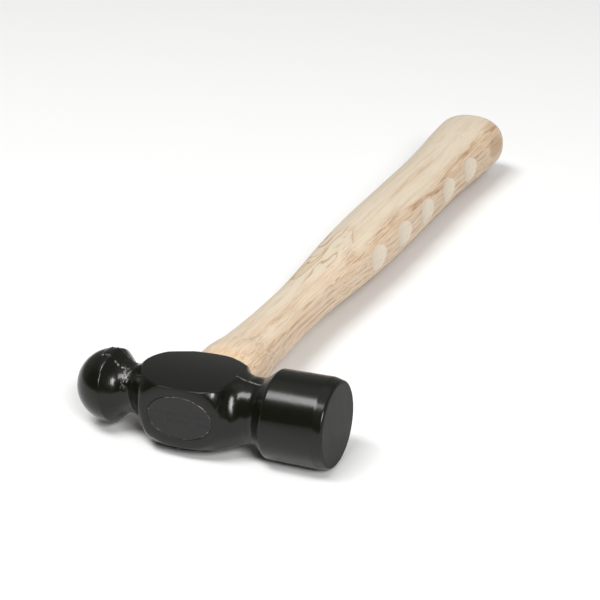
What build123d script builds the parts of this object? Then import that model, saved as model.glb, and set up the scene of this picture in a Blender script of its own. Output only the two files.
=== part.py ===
from build123d import *
import os

os.makedirs("parts", exist_ok=True)

# Ball peen hammer lying on its side, in millimetres.
# Origin: centre of the flat top of the head, where the end of the handle shows.
# +X points out of the striking face, +Y runs down the handle, +Z out of the upper cheek.

# Head, along its own axis. Stations are X values, radii are measured from the axis.
axis_y = 19.0                 # head axis, below the flat top of the head
eye_depth = 2 * axis_y        # flat top to flat underside
cheek_z = 14.0                # head axis to each cheek flat

ball_x = -38.9                # centre of the ball
ball_r = 15.95
ball_band = 2.4               # short straight band behind the ball's widest circle
peen_neck_r = 10.95
peen_neck_start_x = -32.3
peen_neck_end_x = -26.9

body_peen_x = -16.3           # where the body reaches its width, ball side
body_peen_r = 20.8
body_mid_r = 23.8
body_poll_x = 13.3            # and poll side
body_poll_r = 21.3

poll_neck_x = 26.4
poll_neck_r = 13.2
poll_back_x = 35.1
poll_back_r = 18.95
poll_front_x = 57.2
poll_front_r = 19.2
face_x = 61.6
face_r = 18.1

ball_root_fillet = 2.2
peen_neck_fillet = 2.2
body_peen_fillet = 6.3
body_poll_fillet = 12.0
poll_neck_fillet = 6.0
poll_back_fillet = 0.8
face_edge_fillet = 1.2
top_edge_fillet = 1.2         # the body's long edges, beside the flat top
underside_edge_fillet = 3.5   # and beside the underside

# Eye: an oval hole, waisted in the middle so that the wedged handle can't pull out.
eye_half_x = 14.4
eye_half_z = 9.4
eye_waist = 0.92              # size of the waist, as a share of the mouth

# Handle, from the top of the head: distance down, half width in X, half thickness in Z.
handle_stations = [
    (eye_depth, 14.2, 10.2),
    (46, 15.0, 11.9),
    (68, 13.1, 10.8),
    (90, 12.0, 10.1),
    (114, 11.6, 9.9),
    (134, 11.9, 10.2),
    (154, 13.1, 11.0),
    (180, 14.9, 12.2),
    (212, 16.2, 13.1),
    (262, 16.5, 13.3),
    (310, 16.6, 13.4),
    (336, 17.4, 14.0),
    (358, 18.6, 14.9),
    (378, 19.2, 15.3),
    (391.5, 18.9, 15.1),
]
oval_fullness = 0.64          # Bezier handle length of a quarter oval: 0.552 is an ellipse
butt_fillet = 12.0

# Finger scallops ground into both narrow edges of the grip by a drum.
scallop_count = 5
scallop_first_y = 191.0
scallop_pitch = 34.5
scallop_length = 18.0
scallop_depth = 1.2
scallop_z = 2.0               # the drum stood a little above the handle's middle
drum_r = scallop_length**2 / (8 * scallop_depth)
drum_width = 16.0

# Wedges, driven into the end of the handle and cut flush.
kerf_mouth = 3.2
kerf_root = 0.8
wood_wedge_length = 25.0
steel_wedge_x = 6.2
steel_wedge_length = 14.0
steel_wedge_width = 9.0
steel_wedge_thickness = 1.8
steel_wedge_tip = 0.3


head_axis = Axis((0, axis_y, 0), (1, 0, 0))
head_plane = Plane(origin=(0, axis_y, 0), x_dir=(1, 0, 0), z_dir=(0, 0, 1))


def across(distance):
    """The plane across the handle at a distance below the top of the head."""
    return Plane.XZ.offset(-distance)


# The space inside the eye: the cutter for the head and the blank for the handle's tenon.
with BuildPart() as eye:
    for mouth in (0, eye_depth):
        with BuildSketch(across(mouth)):
            Ellipse(eye_half_x, eye_half_z)
        with BuildSketch(across(eye_depth / 2)):
            Ellipse(eye_half_x * eye_waist, eye_half_z * eye_waist)
        loft()

# The block that the body's flats bound, between the two necks.
body_length = poll_neck_x - peen_neck_end_x
body_centre = ((poll_neck_x + peen_neck_end_x) / 2, axis_y, 0)
with BuildPart() as body_block:
    with Locations(body_centre):
        Box(body_length, 2 * axis_y, 2 * cheek_z)
    long_edges = body_block.edges().filter_by(Axis.X).group_by(Axis.Y)
    fillet(long_edges[0], top_edge_fillet)
    fillet(long_edges[-1], underside_edge_fillet)

# What the flats take off the turned body.
with BuildPart() as flats:
    with Locations(body_centre):
        Box(body_length, 4 * axis_y, 4 * axis_y)
    add(body_block.part, mode=Mode.SUBTRACT)

with BuildPart() as head:
    with BuildSketch(head_plane) as half_profile:
        with BuildLine():
            RadiusArc((ball_x - ball_r, 0), (ball_x, ball_r), ball_r)
            Polyline(
                (ball_x, ball_r),
                (ball_x + ball_band, ball_r),
                (peen_neck_start_x, peen_neck_r),
                (peen_neck_end_x, peen_neck_r),
                (body_peen_x, body_peen_r),
            )
            ThreePointArc(
                (body_peen_x, body_peen_r),
                ((body_peen_x + body_poll_x) / 2, body_mid_r),
                (body_poll_x, body_poll_r),
            )
            Polyline(
                (body_poll_x, body_poll_r),
                (poll_neck_x, poll_neck_r),
                (poll_back_x, poll_back_r),
                (poll_front_x, poll_front_r),
                (face_x, face_r),
                (face_x, 0),
                (ball_x - ball_r, 0),
            )
        make_face()
        for corner, radius in (
            ((ball_x + ball_band, ball_r), ball_root_fillet),
            ((peen_neck_start_x, peen_neck_r), peen_neck_fillet),
            ((peen_neck_end_x, peen_neck_r), peen_neck_fillet),
            ((body_peen_x, body_peen_r), body_peen_fillet),
            ((body_poll_x, body_poll_r), body_poll_fillet),
            ((poll_neck_x, poll_neck_r), poll_neck_fillet),
            ((poll_back_x, poll_back_r), poll_back_fillet),
            ((poll_front_x, poll_front_r), face_edge_fillet),
            ((face_x, face_r), face_edge_fillet),
        ):
            fillet(half_profile.vertices().sort_by_distance(corner)[0], radius)
    revolve(axis=head_axis)
    add(flats.part, mode=Mode.SUBTRACT)
    add(eye.part, mode=Mode.SUBTRACT)

# Kerf and wooden wedge share one tapered shape, which runs the long way of the eye.
with BuildPart() as wood_taper:
    with BuildSketch(Plane.YZ):
        with BuildLine():
            Polyline(
                (0, -kerf_mouth / 2),
                (0, kerf_mouth / 2),
                (wood_wedge_length, kerf_root / 2),
                (wood_wedge_length, -kerf_root / 2),
                close=True,
            )
        make_face()
    extrude(amount=eye_half_x, both=True)


def steel_wedge(x):
    """A tapered steel blade, driven across the wooden wedge."""
    with BuildPart() as wedge:
        with BuildSketch(Plane((x, 0, 0))):
            with BuildLine():
                Polyline(
                    (-steel_wedge_thickness / 2, 0),
                    (steel_wedge_thickness / 2, 0),
                    (steel_wedge_tip / 2, steel_wedge_length),
                    (-steel_wedge_tip / 2, steel_wedge_length),
                    close=True,
                )
            make_face()
        extrude(amount=steel_wedge_width / 2, both=True)
    return wedge


steel_wedge_peen_side = steel_wedge(-steel_wedge_x)
steel_wedge_poll_side = steel_wedge(steel_wedge_x)


def grip_half_width(y):
    """Half width of the handle at y, between its two nearest stations."""
    above = [station for station in handle_stations if station[0] <= y][-1]
    below = [station for station in handle_stations if station[0] > y][0]
    share = (y - above[0]) / (below[0] - above[0])
    return above[1] + share * (below[1] - above[1])


with BuildPart() as handle:
    for distance, half_width, half_thickness in handle_stations:
        with BuildSketch(across(distance)):
            with BuildLine():
                Bezier(
                    (half_width, 0),
                    (half_width, oval_fullness * half_thickness),
                    (oval_fullness * half_width, half_thickness),
                    (0, half_thickness),
                )
                mirror(about=Plane.YZ)
                mirror(about=Plane.XZ)
            make_face()
    loft()
    fillet(handle.edges().group_by(Axis.Y)[-1], butt_fillet)
    for side in (-1, 1):
        for i in range(scallop_count):
            scallop_y = scallop_first_y + i * scallop_pitch
            drum_x = side * (grip_half_width(scallop_y) - scallop_depth + drum_r)
            with Locations((drum_x, scallop_y, scallop_z)):
                Cylinder(drum_r, drum_width, mode=Mode.SUBTRACT)
    add(eye.part)
    for wedge in (wood_taper, steel_wedge_peen_side, steel_wedge_poll_side):
        add(wedge.part, mode=Mode.SUBTRACT)

with BuildPart() as wooden_wedge:
    add(wood_taper.part)
    add(eye.part, mode=Mode.INTERSECT)
    add(steel_wedge_peen_side.part, mode=Mode.SUBTRACT)
    add(steel_wedge_poll_side.part, mode=Mode.SUBTRACT)

pieces = {
    "head": head,
    "handle": handle,
    "wooden_wedge": wooden_wedge,
    "steel_wedge_peen_side": steel_wedge_peen_side,
    "steel_wedge_poll_side": steel_wedge_poll_side,
}
for name, piece in pieces.items():
    piece.part.label = name
    export_step(piece.part, f"parts/{name}.step")
    print(f"{name}: {piece.part.volume / 1000:.2f} cm3")
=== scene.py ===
import bpy
import numpy as np
from mathutils import Matrix, Vector


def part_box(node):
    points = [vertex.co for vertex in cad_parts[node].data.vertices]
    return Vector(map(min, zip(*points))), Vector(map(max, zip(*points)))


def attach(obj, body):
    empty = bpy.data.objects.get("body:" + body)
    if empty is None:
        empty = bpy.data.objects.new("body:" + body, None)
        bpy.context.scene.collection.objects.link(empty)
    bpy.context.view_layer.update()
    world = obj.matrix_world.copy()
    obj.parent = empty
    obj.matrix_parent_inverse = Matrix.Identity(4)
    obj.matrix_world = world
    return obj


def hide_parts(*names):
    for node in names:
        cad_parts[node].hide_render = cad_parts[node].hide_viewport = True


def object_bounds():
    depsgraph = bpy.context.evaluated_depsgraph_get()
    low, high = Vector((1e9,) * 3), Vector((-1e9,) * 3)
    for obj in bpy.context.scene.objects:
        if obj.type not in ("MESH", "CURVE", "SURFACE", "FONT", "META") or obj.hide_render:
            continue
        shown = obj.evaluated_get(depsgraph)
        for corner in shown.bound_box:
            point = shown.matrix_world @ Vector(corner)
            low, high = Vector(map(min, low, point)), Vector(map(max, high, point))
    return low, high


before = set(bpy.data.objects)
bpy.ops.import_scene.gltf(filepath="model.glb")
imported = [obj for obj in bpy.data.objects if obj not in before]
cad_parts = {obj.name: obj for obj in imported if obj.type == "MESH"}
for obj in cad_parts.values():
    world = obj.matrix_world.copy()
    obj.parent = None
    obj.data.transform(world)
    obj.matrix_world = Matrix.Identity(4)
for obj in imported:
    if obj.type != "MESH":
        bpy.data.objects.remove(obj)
cadLow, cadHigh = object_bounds()

# A ball peen hammer: forged and lacquered head, hickory handle, one wooden and two steel wedges.
# Lengths in the dictionaries are millimetres; everything given to Blender is metres.
mm = 0.001
headLow, headHigh = (np.array(corner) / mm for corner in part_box("head"))
axisY = (headLow[1] + headHigh[1]) / 2     # the head's own axis runs along X at this Y


cameraSetup = {
    "place": (323.15, -647.98, 359.2),
    "azimuth": 22.62,      # degrees round the object from looking along +Y
    "elevation": 23.04,
    "roll": -0.15,
    "lens": 119.37,        # on a 36 mm sensor
}


def makeCamera(setup):
    azimuth, elevation, roll = np.radians([setup["azimuth"], setup["elevation"], setup["roll"]])
    right = Vector((np.cos(azimuth), np.sin(azimuth), 0))
    up = Vector((-np.sin(azimuth) * np.sin(elevation), np.cos(azimuth) * np.sin(elevation),
                 np.cos(elevation)))
    back = right.cross(up)
    turn = Matrix((right, up, back)).transposed() @ Matrix.Rotation(roll, 3, "Z")
    data = bpy.data.cameras.new("camera")
    data.lens = setup["lens"]
    data.sensor_width = 36.0
    data.clip_start = 0.01
    camera = bpy.data.objects.new("camera", data)
    bpy.context.scene.collection.objects.link(camera)
    camera.matrix_world = Matrix.Translation(Vector(setup["place"]) * mm) @ turn.to_4x4()
    bpy.context.scene.camera = camera


makeCamera(cameraSetup)
print("camera placed")


def softMin(a, b, width):
    # the smaller of two fields, blended over a width where they meet
    return np.minimum(a, b) - np.maximum(width - np.abs(a - b), 0) ** 2 / (4 * width)


def smoothStep(value, start, end):
    # 0 before start, 1 after end, and a cubic between
    t = np.clip((value - start) / (end - start), 0, 1)
    return t * t * (3 - 2 * t)


def bump(value, centre, halfWidth):
    # 1 at the centre, falling smoothly to 0 at the half width
    return 1 - smoothStep(np.abs(value - centre), 0, halfWidth)


def window(value, span):
    # rises from 0 to 1 between the span's first two values and falls back between its last two
    return smoothStep(value, span[0], span[1]) * smoothStep(-value, -span[3], -span[2])


def lattice(u, v, columns, seed, rows=61):
    # smooth value noise from 0 to 1 on unit cells, repeating every so many rows of u and columns of v
    table = np.random.default_rng(seed).random((rows, columns))
    i, j = np.floor(u).astype(int), np.floor(v).astype(int)
    f, g = smoothStep(u - i, 0, 1), smoothStep(v - j, 0, 1)
    corner = [table[(i + a) % rows, (j + b) % columns] for a in (0, 1) for b in (0, 1)]
    return (corner[0] * (1 - g) + corner[1] * g) * (1 - f) + (corner[2] * (1 - g) + corner[3] * g) * f


def angularLattice(x, theta, perMillimetre, perTurn, seed):
    # lattice noise wrapped round the head axis
    return lattice(x * perMillimetre, theta * (perTurn / 2) / np.pi, perTurn, seed)


def splineThrough(stations, y):
    # cubic Hermite curve through the stations, with the slope of its neighbours at each
    at, values = stations[:, 0], stations[:, 1:]
    slopes = np.gradient(values, at, axis=0)
    i = np.clip(np.searchsorted(at, y) - 1, 0, len(at) - 2)
    span = (at[i + 1] - at[i])[:, None]
    t = np.clip((y[:, None] - at[i][:, None]) / span, 0, 1)
    return ((2 * t**3 - 3 * t**2 + 1) * values[i] + (t**3 - 2 * t**2 + t) * span * slopes[i]
            + (3 * t**2 - 2 * t**3) * values[i + 1] + (t**3 - t**2) * span * slopes[i + 1])


def roundedPath(corners, steps=24):
    # straight runs between corners (x, radius, fillet), each inner corner an arc tangent to both runs
    corners = np.array(corners, float)
    points, fillets = corners[:, :2], corners[1:-1, 2:3]
    runs = np.diff(points, axis=0)
    ways = runs / np.linalg.norm(runs, axis=1, keepdims=True)
    before, after = ways[:-1], ways[1:]
    half = np.arccos(np.clip((before * after).sum(1, keepdims=True), -1, 1)) / 2
    tangent = fillets * np.tan(half)
    side = np.sign(before[:, :1] * after[:, 1:] - before[:, 1:] * after[:, :1])
    normal = np.concatenate([-before[:, 1:], before[:, :1]], 1) * side
    start = points[1:-1] - before * tangent
    angle = 2 * half * np.linspace(0, 1, steps)
    arcs = (start[:, None] + before[:, None] * (fillets * np.sin(angle))[..., None]
            + normal[:, None] * (fillets * (1 - np.cos(angle)))[..., None])
    return np.concatenate([points[:1], arcs.reshape(-1, 2), points[-1:]])


def spread(density, count):
    # count + 1 places from 0 to 1, closer together where the density is high
    total = np.concatenate([[0], np.cumsum((density[1:] + density[:-1]) / 2)])
    return np.interp(np.linspace(0, 1, count + 1), total / total[-1], np.linspace(0, 1, len(density)))


def gridPiece(name, grid, masks=None):
    # a tube of rings, one ring a row, closed at both ends by a fan to the ring's middle; a mask has
    # one value for each point of the grid
    rows, columns = grid.shape[:2]
    i, j = np.meshgrid(np.arange(rows - 1), np.arange(columns), indexing="ij")
    across = (j + 1) % columns
    quads = np.stack([i * columns + j, i * columns + across, (i + 1) * columns + across,
                      (i + 1) * columns + j], -1).reshape(-1, 4)
    points = np.concatenate([grid.reshape(-1, 3), grid[:1].mean(1), grid[-1:].mean(1)])
    ring = np.arange(columns)
    nextRing = (ring + 1) % columns
    first = np.stack([np.full(columns, rows * columns), nextRing, ring], -1)
    last = np.stack([np.full(columns, rows * columns + 1), ring + (rows - 1) * columns,
                     nextRing + (rows - 1) * columns], -1)
    a, b, c = points[quads[:, 0]], points[quads[:, 1]], points[quads[:, 2]]
    if (a * np.cross(b, c)).sum() < 0:          # inside out: turn every face round
        quads, first, last = quads[:, ::-1], first[:, ::-1], last[:, ::-1]
    mesh = bpy.data.meshes.new(name)
    mesh.from_pydata((points * mm).tolist(), [], quads.tolist() + first.tolist() + last.tolist())
    mesh.shade_smooth()
    for mask, values in (masks or {}).items():
        values = np.append(values.ravel(), [0, 0]).astype(np.float32)     # 0 at both middles
        mesh.attributes.new(mask, "FLOAT", "POINT").data.foreach_set("value", values)
    piece = bpy.data.objects.new(name, mesh)
    bpy.context.scene.collection.objects.link(piece)
    return piece


def cutAway(piece, cutters):
    # takes each cutter out of the piece, then removes the cutters
    for cutter in cutters:
        cut = piece.modifiers.new("cut", "BOOLEAN")
        cut.operation = "DIFFERENCE"
        cut.solver = "MANIFOLD"
        cut.object = cutter
    graph = bpy.context.evaluated_depsgraph_get()
    mesh = bpy.data.meshes.new_from_object(piece.evaluated_get(graph))
    piece.modifiers.clear()
    piece.data = mesh
    for cutter in cutters:
        bpy.data.objects.remove(cutter)


def sharpen(piece, degrees):
    # edges that turn by more than this stay crisp, the rest are shaded smooth
    piece.data.shade_smooth()
    piece.data.set_sharp_from_angle(angle=np.radians(degrees))


def finish(piece, nodes, material):
    piece.data.materials.clear()
    piece.data.materials.append(material)
    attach(piece, "root")
    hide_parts(nodes)


class Value:
    # one output socket, so that shader maths reads as arithmetic
    def __init__(self, maker, socket):
        self.maker = maker
        self.socket = socket

    def math(self, operation, *others):
        return self.maker.node("ShaderNodeMath", {"operation": operation}, dict(enumerate((self, *others))))

    def __add__(self, other):
        return self.math("ADD", other)

    def __mul__(self, other):
        return self.math("MULTIPLY", other)

    def __sub__(self, other):
        return self.math("SUBTRACT", other)

    def __rsub__(self, other):
        return (self * -1).math("ADD", other)

    def __pow__(self, other):
        return self.math("POWER", other)

    __radd__ = __add__
    __rmul__ = __mul__

    def ramp(self, start, end):
        # 0 below start, 1 above end, or the other way round when start is the larger
        low, high, to = (start, end, (0, 1)) if start < end else (end, start, (1, 0))
        return self.maker.node("ShaderNodeMapRange", {"interpolation_type": "SMOOTHSTEP"},
                               {"Value": self, "From Min": low, "From Max": high,
                                "To Min": to[0], "To Max": to[1]})


class Maker:
    # builds the nodes of one material, or of the world; x, y and z are its coordinates
    def __init__(self, owner, coordinate="Object", scale=1 / mm):
        self.owner = owner
        owner.use_nodes = True
        self.tree = owner.node_tree
        self.tree.nodes.clear()
        self.place = self.node("ShaderNodeTexCoord", {}, {}, coordinate)
        parts = self.node("ShaderNodeSeparateXYZ", {}, {0: self.place}).socket.node
        self.x, self.y, self.z = (Value(self, socket) * scale for socket in parts.outputs)

    def node(self, kind, settings, inputs, output=0):
        made = self.tree.nodes.new(kind)
        for key, value in settings.items():
            setattr(made, key, value)
        for key, value in inputs.items():
            socket = made.inputs[key]
            if isinstance(value, Value):
                self.tree.links.new(value.socket, socket)
            elif socket.type == "RGBA":
                socket.default_value = (*value, 1)
            else:
                socket.default_value = value
        return Value(self, made.outputs[output]) if made.outputs else None

    def stretched(self, factors, shift=(0, 0, 0)):
        # object coordinates scaled along each axis, in cells per millimetre
        scaled = self.node("ShaderNodeVectorMath", {"operation": "MULTIPLY"},
                           {0: self.place, 1: tuple(f / mm for f in factors)})
        return self.node("ShaderNodeVectorMath", {"operation": "ADD"}, {0: scaled, 1: shift})

    def noise(self, factors, detail=2.0, roughness=0.5, distortion=0.0, shift=(0, 0, 0)):
        return self.node("ShaderNodeTexNoise", {"noise_dimensions": "3D"},
                         {"Vector": self.stretched(factors, shift), "Scale": 1.0, "Detail": detail,
                          "Roughness": roughness, "Distortion": distortion})

    def mask(self, name):
        return self.node("ShaderNodeAttribute", {"attribute_name": name}, {}, "Fac")

    def mix(self, factor, first, second):
        # a colour between two colours
        return self.node("ShaderNodeMix", {"data_type": "RGBA"}, {0: factor, 6: first, 7: second}, 2)

    def bump(self, height, distance, strength=1.0, under=None):
        inputs = {"Height": height, "Distance": distance * mm, "Strength": strength}
        if under is not None:
            inputs["Normal"] = under
        return self.node("ShaderNodeBump", {}, inputs)

    def surface(self, inputs):
        shader = self.node("ShaderNodeBsdfPrincipled", {}, inputs)
        self.node("ShaderNodeOutputMaterial", {}, {"Surface": shader})
        return self.owner


headForm = {
    "ballX": -38.9,
    # turned profile from behind the ball to the face: x, radius, fillet; first on the lower side, then
    # on the upper side, where the forging is a little leaner
    "lower": [(-38.9, 15.95, 0), (-37.2, 15.95, 2.0), (-31.4, 10.45, 5), (-25.85, 10.45, 6),
              (-16.2, 20.5, 5), (-9.0, 22.4, 18), (0.5, 23.3, 14), (8.0, 22.2, 10), (14.5, 20.3, 8),
              (24.2, 14.45, 6), (29.2, 14.45, 5), (34.7, 18.9, 0.8),
              (57.2, 19.17, 1.3), (61.0, 18.3, 0.9), (61.6, 17.3, 0.4), (61.6, 0.2, 0)],
    "upper": [(-38.9, 15.5, 0), (-37.5, 15.5, 1.6), (-31.9, 10.45, 5), (-27.8, 10.45, 5),
              (-19.6, 18.1, 7), (-9.0, 22.1, 18), (1.5, 23.3, 14), (7.0, 22.1, 8), (16.3, 18.2, 1.5),
              (19.65, 13.6, 8), (29.0, 13.6, 6), (35.3, 18.75, 0.8),
              (57.2, 19.0, 1.3), (61.0, 18.1, 0.9), (61.6, 17.2, 0.4), (61.6, 0.2, 0)],
    "upperAt": 80,                          # degrees from +Y round to +Z
    "flatY": 19.0, "flatZ": 14.0,           # head axis to the eye ends and, about, to the cheeks
    "crowns": ((14.3, 420.0), (14.0, 140.0)),   # lower, upper cheek: distance, radius of its crown
    "blendY": 1.6, "blendZ": 0.45,          # how softly the flats run into the turned form
    # cone behind the ball: X of its root, the root's shift at the given angle, slope, softness at the root
    "shoulder": (-31.5, -2.8, 0.97, 1.35), "shoulderAt": 138, "neck": 10.45,
    "chip": 0.22, "chipAt": 132, "creaseBlend": 0.16,   # the broken crease where the cone meets the ball
    # how far the body stands out beside the upper cheek, growing towards the poll
    "square": 0.6, "squareAt": 140, "squareSpan": (-21, -16, 13.5, 18.5), "squareGrowth": (4, 13),
    "bodySpan": (-27.5, -26.5, 22, 25),     # where the flats act
    "cheekFade": (12, 19, 1.6),             # X from, X to and width of the cheeks' softer end
    # strip left where the flash was trimmed off: half width, height
    "land": 3.7, "landHeight": 0.35, "landSpan": (-43.5, -41.5, -32, -29.5),
    # flash seam in the poll's valley: height, its offset towards the wedged end at its middle, slope
    "seamHeight": 0.4, "seamOffset": 1.1, "seamSlope": 0.27, "seamMiddle": 19,
    "seamSpan": (17.5, 19.5, 27, 30),
    "ripple": 0.09, "rippleSpans": ((-37, -33, -22, -17), (14, 18, 31, 35)),
    "rows": 400, "columns": 232,
    "eyeX": 14.4, "eyeZ": 9.4, "eyeWaist": 0.92, "eyeGap": 0.05, "mouthFlare": 0.16,
}


def headPaths(form):
    # each path: the ball as a quarter circle from its tip, then the filleted profile to the face;
    # both are sampled at the same shares of their mean length
    turn = np.linspace(0.02, np.pi / 2, 120)[:-1]
    paths = []
    for corners in (form["lower"], form["upper"]):
        radius = corners[0][1]
        ball = np.stack([form["ballX"] - form["lower"][0][1] * np.cos(turn), radius * np.sin(turn)], 1)
        paths.append(np.concatenate([ball, roundedPath(corners)]))
    mean = (paths[0] + paths[1]) / 2
    length = np.concatenate([[0], np.cumsum(np.linalg.norm(np.diff(mean, axis=0), axis=1))])
    along = np.linspace(0, length[-1], 4000)
    x, radius = np.interp(along, length, mean[:, 0]), np.interp(along, length, mean[:, 1])
    density = (1 + 1.2 * bump(x, -38, 6) + 0.8 * bump(x, -31, 9) + 0.6 * bump(x, 59.5, 3)
               + 0.5 * bump(x, 22, 14) - 0.6 * bump(x, 47, 11)
               - 0.8 * smoothStep(-radius, -16.5, -15) * (x > 60))
    picked = spread(density, form["rows"]) * length[-1]
    return [[np.interp(picked, length, path[:, k])[:, None] for k in (0, 1)] for path in paths]


def around(theta, degrees):
    # how far an angle is from a given one, in degrees, the short way round
    return np.abs((np.degrees(theta) - degrees + 180) % 360 - 180)


def forgingMarks(form, x, theta, radius):
    # what forging left on the turned form, as a change of radius: the trimmed strip on the ball's
    # shoulder with its burred edges, the flash seam in the poll's valley and a slow ripple; and where
    # the lacquer has worn off the sharp marks
    across = radius * np.cos(theta)
    onSide = smoothStep(np.abs(np.sin(theta)), 0.6, 0.75)
    grain = angularLattice(x, theta, 1.6, 56, 5) - 0.5
    fine = angularLattice(x, theta, 3.4, 112, 6) - 0.5
    reach = window(x, form["landSpan"]) * onSide
    half = form["land"] - 0.3 * smoothStep(x, -36, -30) + 0.3 * grain
    outward = np.abs(across + 0.3) - half
    strip = reach * (1 - smoothStep(outward, -0.2, 0.25))
    edge = reach * bump(outward, 0.05, 0.45)
    marks = strip * form["landHeight"] * (0.8 + 0.55 * grain + 0.5 * fine) + edge * 0.12 * (1 + 2 * fine)
    seamLine = across + form["seamOffset"] + form["seamSlope"] * (x - form["seamMiddle"]) + 0.35 * grain
    seam = bump(seamLine, 0, 0.6) * window(x, form["seamSpan"]) * onSide
    marks = marks + seam * form["seamHeight"] * (1 + 0.8 * fine)
    forged = sum(window(x, span) for span in form["rippleSpans"])
    slow = angularLattice(x, theta, 0.28, 20, 7) - 0.5
    worn = np.maximum(edge * (across < 0) * smoothStep(fine, -0.1, 0.12),
                      bump(seamLine, 0, 0.4) * (seam > 0) * smoothStep(fine, -0.35, -0.1))
    return marks + forged * form["ripple"] * (slow + 0.4 * grain), worn


def headGrid(form):
    # polar rings round the head axis: the turned radius, pulled in to the cone behind the ball, then
    # to the crowned cheeks z = flatZ - y^2 / (2 crown) and to the flats of the eye ends
    (lowX, lowR), (highX, highR) = headPaths(form)
    angles = np.linspace(0, 2 * np.pi, 2881)
    corner = np.cos(2 * np.arctan2(form["flatZ"], form["flatY"]))
    density = (1 + 1.1 * np.exp(-(((np.cos(2 * angles) - corner) / 0.35) ** 2))
               + 0.8 * np.exp(-((np.cos(angles) / 0.3) ** 2)))
    theta = (spread(density, form["columns"])[:-1] * 2 * np.pi)[None, :]
    upper = smoothStep(np.cos(theta - np.radians(form["upperAt"])), -0.6, 0.5)
    x = lowX + (highX - lowX) * upper
    radius = lowR + (highR - lowR) * upper
    cos, sin = np.abs(np.cos(theta)), np.abs(np.sin(theta))
    root, shift, slope, soft = form["shoulder"]
    root = root + shift * bump(around(theta, form["shoulderAt"]), 0, 100)
    cone = form["neck"] + slope * soft * np.log1p(np.exp(np.clip((root - x) / soft, -30, 30)))
    chips = (angularLattice(x, theta, 2.2, 96, 8) - 0.5) * bump(radius - cone, 0, 0.5)
    crease = (bump(radius - cone, -0.05, 0.3) * bump(around(theta, form["chipAt"]), 0, 34)
              * smoothStep(chips, 0.0, 0.2))
    cone = cone + form["chip"] * chips + 50 * (x > -29) + 50 * (x < -44)      # out of reach elsewhere
    radius = softMin(radius, cone, form["creaseBlend"])
    square = form["square"] * bump(around(theta, form["squareAt"]), 0, 36)
    square = square * (1 + smoothStep(x, *form["squareGrowth"]))
    radius = radius + square * window(x, form["squareSpan"])
    marks, worn = forgingMarks(form, x, theta, radius)
    radius = radius + marks
    limitY = form["flatY"] / np.maximum(cos, 1e-6)
    flatZ, crown = (np.where(np.sin(theta) > 0, high, low) for low, high in zip(*form["crowns"]))
    limitZ = 2 * flatZ / (sin + np.sqrt(sin**2 + 2 * flatZ * cos**2 / crown))
    fadeFrom, fadeTo, fadeWidth = form["cheekFade"]
    fade = smoothStep(x, fadeFrom, fadeTo) * fadeWidth
    body = softMin(softMin(radius, limitY, form["blendY"]), limitZ, form["blendZ"] + fade)
    reach = radius + (body - radius) * window(x, form["bodySpan"])
    grid = np.stack([x, axisY + reach * np.cos(theta), reach * np.sin(theta)], -1)
    return grid, {"worn": np.maximum(worn, crease)}


def ovalGrid(y, halfX, halfZ, columns=160):
    # rings of an oval, one for each y
    turn = np.linspace(0, 2 * np.pi, columns, endpoint=False)[None, :]
    y = y[:, None] + 0 * turn
    return np.stack([halfX[:, None] * np.cos(turn), y, halfZ[:, None] * np.sin(turn)], -1)


def eyeScale(form, y):
    # 1 at both mouths, the waist's share half way
    return 1 - (1 - form["eyeWaist"]) * (1 - np.abs(y - axisY) / axisY)


def eyeCutter(form):
    # the waisted oval of the eye, a hair wider than the handle, flared at both mouths
    y = np.array([-1.0, 0.0, form["mouthFlare"], axisY, 2 * axisY - form["mouthFlare"], 2 * axisY,
                  2 * axisY + 1])
    flare = form["eyeGap"] + form["mouthFlare"] * np.array([1, 1, 0, 0, 0, 1, 1])
    scale = eyeScale(form, np.clip(y, 0, 2 * axisY))
    return gridPiece("eyeCutter", ovalGrid(y, form["eyeX"] * scale + flare, form["eyeZ"] * scale + flare))


head = gridPiece("headForging", *headGrid(headForm))
cutAway(head, [eyeCutter(headForm)])
sharpen(head, 42)
print("head made,", len(head.data.polygons), "faces")


handleForm = {
    # distance from the top of the head, half width in X, half thickness in Z
    "stations": [(38, 14.2, 10.2), (46, 15.0, 11.9), (68, 13.1, 10.8), (90, 12.0, 10.1),
                 (114, 11.6, 9.9), (134, 11.9, 10.2), (154, 13.1, 11.0), (180, 14.9, 12.2),
                 (212, 16.2, 13.1), (262, 16.5, 13.3), (310, 16.6, 13.4), (336, 17.4, 14.0),
                 (358, 18.6, 14.9), (378, 19.2, 15.3), (391.5, 18.9, 15.1)],
    "fullness": 2.3,                         # exponent of the oval: 2 is an ellipse
    "lean": (0.6, 49, -0.5, 360),            # the shaft's middle: X at one Y, X at another
    "buttRound": 12.0,
    "scallopFirst": 191.0, "scallopPitch": 34.5, "scallopCount": 5,
    "scallopLength": 19.5, "scallopDepth": 1.45, "scallopTilt": 0.13, "scallopZ": 2.0,
    "tenonRings": 60, "shaftRings": 386, "buttRings": 40, "capRings": 14, "columns": 168,
}


def scallopLimit(form, y, z, halfX):
    # the half width that the drum cuts leave at each y and z: an arc along Y, tilted about scallopZ
    drum = form["scallopLength"] ** 2 / (8 * form["scallopDepth"])
    nearest = np.clip(np.round((y - form["scallopFirst"]) / form["scallopPitch"]), 0,
                      form["scallopCount"] - 1)
    away = np.clip(y - form["scallopFirst"] - nearest * form["scallopPitch"], -drum, drum)
    tilt = form["scallopTilt"] * (form["scallopZ"] - z)
    return halfX - form["scallopDepth"] + drum - np.sqrt(drum**2 - away**2) + tilt


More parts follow.
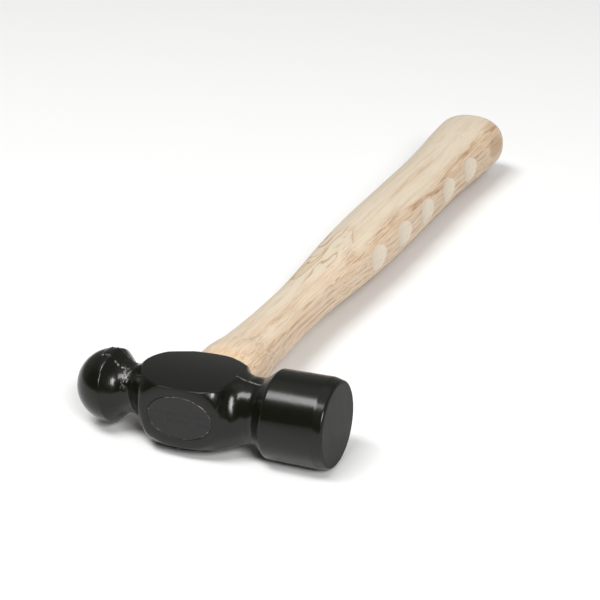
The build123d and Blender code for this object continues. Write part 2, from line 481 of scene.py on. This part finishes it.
def handleGrid(form, head):
    # rings along Y of an oval |x/a|^n + |z/b|^n = 1: the end in the eye, the tenon, the shaft through
    # its stations and the quarter round of the butt
    stations = np.array(form["stations"], float)
    startY, endY, butt = stations[0, 0], stations[-1, 0], form["buttRound"]
    # rings of the flat end, as shares of its size
    capShare = np.array([0.02, 0.15, 0.35, 0.55, 0.7, 0.82, 0.9, 0.94, 0.965, 0.985, 0.996])
    tenon = np.concatenate([[0.0, 0.12, 0.4], np.linspace(1.2, startY - 0.4, form["tenonRings"])])
    shaft = np.concatenate([[startY], np.linspace(startY + 0.25, endY - butt, form["shaftRings"])])
    turn = np.linspace(0, np.pi / 2, form["buttRings"])[1:]
    caps = form["capRings"]
    y = np.concatenate([0 * capShare, tenon, shaft, endY - butt + butt * np.sin(turn),
                        np.full(caps, endY)])
    share = np.ones_like(y)
    share[:len(capShare)] = capShare
    share[-caps:] = np.linspace(0.95, 0.03, caps)
    inset = np.zeros_like(y)
    inset[-caps - len(turn):-caps] = butt * (1 - np.cos(turn))
    inset[-caps:] = butt
    inset[len(capShare)] = 0.12                                  # a small soft edge on the end
    half = splineThrough(stations, np.clip(y, startY, endY))
    inEye = y < startY - 0.1
    scale = eyeScale(head, np.clip(y, 0, 2 * axisY))
    halfX = (np.where(inEye, head["eyeX"] * scale, half[:, 0]) - inset) * share
    halfZ = (np.where(inEye, head["eyeZ"] * scale, half[:, 1]) - inset) * share
    power = 2 / np.where(inEye, 2.0, form["fullness"])[:, None]
    turn = np.linspace(0, 2 * np.pi, form["columns"], endpoint=False)[None, :]
    cos, sin = np.cos(turn), np.sin(turn)
    x = halfX[:, None] * np.sign(cos) * np.abs(cos) ** power
    z = halfZ[:, None] * np.sign(sin) * np.abs(sin) ** power
    yGrid = y[:, None] + 0 * turn
    limit = scallopLimit(form, yGrid, z, np.where(inEye, 99, half[:, 0])[:, None])
    cut = np.abs(x) - limit
    x = np.sign(x) * softMin(np.abs(x), limit, 0.06)
    leanX, leanY, endX, leanEnd = form["lean"]
    lean = (leanX + (yGrid - leanY) / (leanEnd - leanY) * (endX - leanX)) * smoothStep(yGrid, startY, 46)
    return np.stack([x + lean, yGrid, z], -1), {"scallop": smoothStep(cut, 0.0, 0.12)}


wedgeForm = {
    # wooden wedge, along the long way of the eye: thickness at both ends, length, soft edge, gap round it
    "mouth": 3.2, "root": 0.8, "length": 25.0, "edge": 0.03, "gap": 0.03,
    "kerfReach": 17.0, "past": 1.0,             # the cuts reach past the tenon's sides and end
    "steelAt": (-6.2, 6.2), "steelLength": 14.0, "steelWidth": 9.0, "steelThickness": (1.8, 0.3),
    "barbs": 5, "barbFrom": 3.0, "barbTo": 12.5, "barbDepth": 0.11,
    "steelRings": 160, "slotRings": 12,         # the slots have plain walls
}


def wedgeHalf(form, y):
    # half the taper's thickness at y
    return (form["mouth"] + (form["root"] - form["mouth"]) * y / form["length"]) / 2


def woodWedgeGrid(form, head):
    # rings along Y: two straight sides half the taper apart, joined by the oval of the eye
    y = np.array([0, 0.05, 0.5, *np.linspace(1.5, form["length"], 40)])[:, None]
    half = wedgeHalf(form, y) - form["gap"] / 2
    eyeX, eyeZ = (head[key] * eyeScale(head, y) for key in ("eyeX", "eyeZ"))
    u = np.concatenate([np.linspace(-1, 1, 48, endpoint=False), np.ones(8),
                        np.linspace(1, -1, 48, endpoint=False), -np.ones(8)])[None, :]
    v = np.concatenate([np.ones(48), np.linspace(1, -1, 8, endpoint=False), -np.ones(48),
                        np.linspace(-1, 1, 8, endpoint=False)])[None, :]
    z = v * (half - form["edge"] * (y == 0))
    reach = eyeX * np.sqrt(1 - np.where(np.abs(u) == 1, z, half) ** 2 / eyeZ**2) - form["gap"]
    return np.stack([u * reach, y + 0 * u, z], -1)


def kerfGrid(form):
    # the saw cut that the wooden wedge opens: four corners at each end, wider than the eye
    y = np.array([-form["past"], form["length"] + form["gap"]])[:, None]
    half = wedgeHalf(form, y) + form["gap"] / 2
    return np.stack([form["kerfReach"] * np.array([[-1, 1, 1, -1]]) + 0 * y, y + np.zeros(4),
                     half * np.array([[1, 1, -1, -1]])], -1)


def steelWedgeGrid(form, x, rise, gap, rings):
    # rings along Y of a nearly square section |a|^n + |b|^n = 1, thinner towards the tip, with saw-tooth
    # barbs cut into both broad faces; a slot starts by the rise above the end and has no barbs
    y = np.concatenate([[-rise, 0.05], np.linspace(0.3, form["steelLength"] + gap, rings)])[:, None]
    thick, thin = form["steelThickness"]
    half = (thick + (thin - thick) * y / form["steelLength"]) / 2 + gap
    phase = (y - form["barbFrom"]) / (form["barbTo"] - form["barbFrom"]) * form["barbs"]
    tooth = (phase - np.floor(phase)) * ((phase > 0) & (phase < form["barbs"])) * (rise == 0)
    turn = np.linspace(0, 2 * np.pi, 72, endpoint=False)[None, :]
    cos, sin = np.cos(turn), np.sin(turn)
    away = np.sign(cos) * np.abs(cos) ** 0.2 * (half - form["barbDepth"] * tooth)
    up = np.sign(sin) * np.abs(sin) ** 0.2 * (form["steelWidth"] / 2 + gap)
    return np.stack([x + away, y + 0 * turn, up + 0 * y], -1)


def slotCutters(form):
    # the room that the steel wedges take
    return [gridPiece("slotCutter", steelWedgeGrid(form, x, form["past"], form["gap"], form["slotRings"]))
            for x in form["steelAt"]]


handle = gridPiece("hickoryHandle", *handleGrid(handleForm, headForm))
cutAway(handle, slotCutters(wedgeForm) + [gridPiece("kerfCutter", kerfGrid(wedgeForm))])
sharpen(handle, 50)
woodWedge = gridPiece("woodWedge", woodWedgeGrid(wedgeForm, headForm))
cutAway(woodWedge, slotCutters(wedgeForm))
sharpen(woodWedge, 40)
steelWedges = [gridPiece(name, steelWedgeGrid(wedgeForm, x, 0.0, 0.0, wedgeForm["steelRings"]))
               for name, x in zip(("steelWedgePeenSide", "steelWedgePollSide"), wedgeForm["steelAt"])]
for piece in steelWedges:
    sharpen(piece, 35)
print("handle made,", len(handle.data.polygons), "faces")


lacquerLook = {
    "colour": (0.0052, 0.0053, 0.0030), "roughness": 0.2,
    "dusty": (0.0072, 0.0070, 0.0055),      # the eye ends, where the lacquer lies over a sawn surface
    "worn": (0.34, 0.32, 0.30),             # bare metal where the coat has chipped
}


def lacquerMaterial(look):
    m = Maker(bpy.data.materials.new("blackLacquer"))
    grit = m.noise((2.3, 2.3, 2.3), detail=2.0)
    peel = m.noise((0.55, 0.55, 0.55), detail=3.0, roughness=0.55)
    cloud = m.noise((0.05, 0.05, 0.05), detail=3.0)
    smudge = m.noise((0.16, 0.16, 0.16), detail=4.0, roughness=0.65)
    sawn = m.y.ramp(1.3, 0.5) + m.y.ramp(36.7, 37.5)
    face = m.x.ramp(60.9, 61.5)
    forged = m.x.ramp(-39.5, -36) * m.x.ramp(-17, -21) + m.x.ramp(13, 17) * m.x.ramp(35, 33)
    worn = m.mask("worn") * grit.ramp(0.3, 0.5)
    colour = m.mix(sawn * (0.5 + 0.5 * smudge), look["colour"], look["dusty"])
    colour = m.mix(worn * 0.75, colour, look["worn"])
    roughness = (look["roughness"] + (cloud - 0.5) * 0.08 + (smudge - 0.5) * 0.1 + sawn * 0.24
                 + face * 0.4 + worn * 0.15)
    normal = m.bump(peel, 0.03, 0.5 + 0.5 * forged)
    normal = m.bump(grit, 0.012, 0.25 + 0.75 * forged, under=normal)
    return m.surface({"Base Color": colour, "Roughness": roughness, "Normal": normal, "IOR": 1.40})


hickoryLook = {
    "pale": (0.695, 0.60, 0.465), "cream": (0.68, 0.53, 0.375), "tan": (0.40, 0.235, 0.125),
    "brown": (0.26, 0.13, 0.06), "olive": (0.53, 0.42, 0.22), "sanded": (0.70, 0.615, 0.50),
    "red": (0.36, 0.15, 0.065), "amber": (0.56, 0.31, 0.12), "roughness": 0.52, "ringPitch": 2.6,
    "figure": {"y": (118, 205), "x": 5.0},             # stretch with small loops in the grain, up to this X
    "knot": {"start": (238, 9.6), "end": (296, 5.6)},  # dark streak on the +X side: Y and Z of its ends
    "stain": {"y": 369, "z": 2.5, "length": 13, "height": 6.5},
    "throat": 62,                                      # amber tint from the head to here
}
endLook = {"paint": (0.0045, 0.0045, 0.0040), "raw": (0.25, 0.195, 0.115), "roughness": 0.5, "depth": 0.3}


def paintedEnd(m, wood, woodRoughness, ring):
    # the flush end is under the head's lacquer; a ring where it meets the eye has cracked open
    paint = m.y.ramp(endLook["depth"], endLook["depth"] * 0.6)
    broken = m.noise((0.17, 0.17, 0.17), detail=5.0, roughness=0.72, shift=(3, 0, 1))
    speck = m.noise((1.1, 1.1, 1.1), detail=2.0).ramp(0.36, 0.56)
    broken = (broken + m.x * 0.004).ramp(0.47, 0.6) * (0.15 + 0.85 * speck)
    coat = m.mix(ring * broken, endLook["paint"], endLook["raw"]) if ring is not None else endLook["paint"]
    colour = m.mix(paint, wood, coat)
    return colour, woodRoughness + (endLook["roughness"] - woodRoughness) * paint


def hickoryGrain(m, look):
    # growth rings cut along the handle, with dark pores, hair lines and long streaks in the late wood;
    # painted light and shade over a broad random tone: paler towards -X and on top, where the light falls,
    # darker and warmer towards +X and below as painted shade, with the dark marks painted stronger on that
    # shaded side
    slow = m.noise((0.03, 0.005, 0.03), detail=2.0)
    wander = m.noise((0.14, 0.022, 0.14), detail=2.0, shift=(5, 2, 0))
    rings = (m.x * 0.42 + m.z * 0.9 + slow * 16 + wander * 3.2) * (2 * np.pi / look["ringPitch"])
    late = (rings.math("SINE") * 0.5 + 0.5) ** 1.6
    pores = m.noise((1.5, 0.05, 1.5), detail=4.0, roughness=0.65).ramp(0.53, 0.62)
    hair = m.noise((2.6, 0.05, 2.6), detail=2.0, shift=(0, 3, 0)).ramp(0.46, 0.64)
    streaks = m.noise((1.1, 0.011, 1.1), detail=4.0, roughness=0.65).ramp(0.48, 0.62)
    broad = m.noise((0.10, 0.009, 0.10), detail=2.0, shift=(0, 4, 2)).ramp(0.36, 0.66)
    # painted shade: 1 on the side turned from the light, towards +X and below, mixed with a broad random
    # tone; it darkens the colour and strengthens the streaks, pores and hair lines
    paintedShadeAndTone = (m.x * 0.05 - m.z * 0.045 + (broad - 0.5) * 0.8).ramp(-0.55, 0.6)
    colour = m.mix(paintedShadeAndTone, look["pale"], look["cream"])
    colour = m.mix(streaks * (0.22 + 0.45 * late) * (0.25 + 0.75 * paintedShadeAndTone), colour, look["tan"])
    colour = m.mix(pores * (0.16 + 0.5 * late) * (0.2 + 0.8 * paintedShadeAndTone), colour, look["brown"])
    colour = m.mix(hair * (0.24 + 0.36 * late) * (0.4 + 0.6 * paintedShadeAndTone), colour, look["tan"])
    return colour, pores, hair, streaks


def hickoryFigure(m, look, colour, pores, hair, streaks):
    # nested loops in the grain where the cut runs nearly along the rings
    figure = look["figure"]
    low, high = figure["y"]
    where = m.y.ramp(low, low + 25) * m.y.ramp(high, high - 25) * m.x.ramp(figure["x"] + 3, figure["x"] - 3)
    loops = m.noise((0.15, 0.026, 0.15), detail=1.0, distortion=0.35, shift=(1, 7, 3)) + pores * 0.006
    line = (loops * 36).math("SINE").ramp(0.55, 0.95) * where * m.z.ramp(2, 6)
    colour = m.mix(loops.ramp(0.48, 0.6) * where * 0.4, colour, look["olive"])
    return m.mix(line * (0.35 + 0.4 * hair + 0.25 * streaks), colour, look["red"])


def hickoryMarks(m, look, colour):
    # the reddish streak beside the scallops, the brown stain by the butt and the amber throat
    (y0, z0), (y1, z1) = look["knot"]["start"], look["knot"]["end"]
    along = m.noise((0.5, 0.06, 0.5), detail=3.0)
    away = (m.z - (m.y - y0) * ((z1 - z0) / (y1 - y0)) - z0 + (along - 0.5) * 5).math("ABSOLUTE")
    streak = away.ramp(1.5, 0.2) * m.y.ramp(y0 - 6, y0 + 3) * m.y.ramp(y1 + 8, y1 - 12) * m.x.ramp(7, 10)
    colour = m.mix(streak * (0.2 + 0.6 * along.ramp(0.42, 0.62)), colour, look["red"])
    stain = look["stain"]
    spot = (((m.y - stain["y"]) * (1 / stain["length"])) ** 2
            + ((m.z - stain["z"]) * (1 / stain["height"])) ** 2 + (along - 0.5) * 0.7)
    colour = m.mix(spot.ramp(1.0, 0.35) * m.x.ramp(8, 13) * 0.55, colour, look["tan"])
    tint = m.y.ramp(look["throat"], 42) * m.noise((0.11, 0.05, 0.11), detail=3.0).ramp(0.4, 0.62)
    return m.mix(tint * 0.5, colour, look["amber"])


def hickoryMaterial(look):
    m = Maker(bpy.data.materials.new("hickory"))
    colour, pores, hair, streaks = hickoryGrain(m, look)
    colour = hickoryFigure(m, look, colour, pores, hair, streaks)
    colour = hickoryMarks(m, look, colour)
    sanded = m.mask("scallop")
    colour = m.mix(sanded * (0.93 - 0.25 * pores), colour, look["sanded"])
    oval = ((m.x * (1 / headForm["eyeX"])) ** 2 + (m.z * (1 / headForm["eyeZ"])) ** 2) ** 0.5
    roughness = look["roughness"] + (streaks - 0.5) * 0.08 + sanded * 0.1
    colour, roughness = paintedEnd(m, colour, roughness, oval.ramp(0.955, 0.972))
    normal = m.bump(pores, 0.025, 0.8)
    normal = m.bump(streaks, 0.03, 0.5, under=normal)
    return m.surface({"Base Color": colour, "Roughness": roughness, "Normal": normal})


def wedgeWoodMaterial(look):
    m = Maker(bpy.data.materials.new("wedgeHardwood"))
    fine = m.noise((2.4, 0.08, 2.4), detail=3.0).ramp(0.4, 0.7)
    wide = m.noise((0.5, 0.03, 0.5), detail=2.0)
    colour = m.mix(fine * 0.5 + wide * 0.3, look["cream"], look["tan"])
    colour, roughness = paintedEnd(m, colour, fine * 0.1 + look["roughness"], None)
    return m.surface({"Base Color": colour, "Roughness": roughness, "Normal": m.bump(fine, 0.03)})


wedgeSteelLook = {"mill": (0.30, 0.29, 0.28), "scale": (0.11, 0.105, 0.10)}


def wedgeSteelMaterial(look):
    m = Maker(bpy.data.materials.new("wedgeSteel"))
    drawn = m.noise((3.0, 0.3, 0.6), detail=3.0)
    scale = m.noise((0.5, 0.5, 0.5), detail=4.0, roughness=0.65).ramp(0.42, 0.62)
    colour = m.mix(scale, look["mill"], look["scale"])
    paint = m.y.ramp(endLook["depth"], endLook["depth"] * 0.6)
    colour = m.mix(paint, colour, endLook["paint"])
    roughness = 0.38 + scale * 0.2 + (drawn - 0.5) * 0.15
    return m.surface({"Base Color": colour, "Roughness": roughness, "Metallic": 0.9 - 0.9 * paint,
                      "Normal": m.bump(drawn, 0.02)})


lacquer = lacquerMaterial(lacquerLook)
finish(head, "head", lacquer)
finish(handle, "handle", hickoryMaterial(hickoryLook))
finish(woodWedge, "wooden_wedge", wedgeWoodMaterial(hickoryLook))
wedgeSteel = wedgeSteelMaterial(wedgeSteelLook)
for piece, node in zip(steelWedges, ("steel_wedge_peen_side", "steel_wedge_poll_side")):
    finish(piece, node, wedgeSteel)
print("materials made")


floorLook = {"colour": (0.88, 0.88, 0.875), "size": 8000.0}


def makeFloor(look):
    half = look["size"] / 2 * mm
    mesh = bpy.data.meshes.new("floor")
    corners = [(-half, -half), (half, -half), (half, half), (-half, half)]
    mesh.from_pydata([(x, y, cadLow.z) for x, y in corners], [], [(0, 1, 2, 3)])
    floor = bpy.data.objects.new("floor", mesh)
    bpy.context.scene.collection.objects.link(floor)
    m = Maker(bpy.data.materials.new("paleFloor"))
    mesh.materials.append(m.surface({"Base Color": look["colour"], "Roughness": 0.9}))


lights = {
    # direction from the head in degrees (azimuth 0 is -Y, 90 is +X), distance, size, power in watts
    "keySoftbox": {"azimuth": -26, "elevation": 65, "distance": 3000, "size": (1840, 860), "power": 66},
    "sideSoftbox": {"azimuth": 40, "elevation": 35, "distance": 2600, "size": (800, 800), "power": 50},
}


def makeLight(name, setup):
    azimuth, elevation = np.radians([setup["azimuth"], setup["elevation"]])
    way = Vector((np.sin(azimuth) * np.cos(elevation), -np.cos(azimuth) * np.cos(elevation),
                  np.sin(elevation)))
    data = bpy.data.lights.new(name, "AREA")
    data.shape = "RECTANGLE"
    data.size, data.size_y = (side * mm for side in setup["size"])
    data.energy = setup["power"]
    light = bpy.data.objects.new(name, data)
    bpy.context.scene.collection.objects.link(light)
    light.location = way * setup["distance"] * mm
    light.rotation_euler = way.to_track_quat("Z", "Y").to_euler()


# brightness of the room in front, behind and overhead, and the spans of a direction's Y and Z over
# which the last two come in
roomLook = {"front": 0.03, "rear": 0.27, "above": 0.45, "rearSpan": (-0.5, 0.15), "aboveSpan": (0.75, 0.97)}


def makeWorld(look):
    # a grey room, darker in front of the hammer than behind it, so that the lacquer has depth
    world = bpy.data.worlds.new("room")
    bpy.context.scene.world = world
    m = Maker(world, "Generated", 1.0)
    level = m.y.ramp(*look["rearSpan"]) * (look["rear"] - look["front"]) + look["front"]
    level = level + m.z.ramp(*look["aboveSpan"]) * look["above"]
    shade = m.node("ShaderNodeBackground", {}, {"Color": (1, 1, 1), "Strength": level})
    m.node("ShaderNodeOutputWorld", {}, {"Surface": shade})


makeFloor(floorLook)
for name, setup in lights.items():
    makeLight(name, setup)
makeWorld(roomLook)
bpy.context.scene.view_settings.view_transform = "Standard"
print("floor and lights placed")
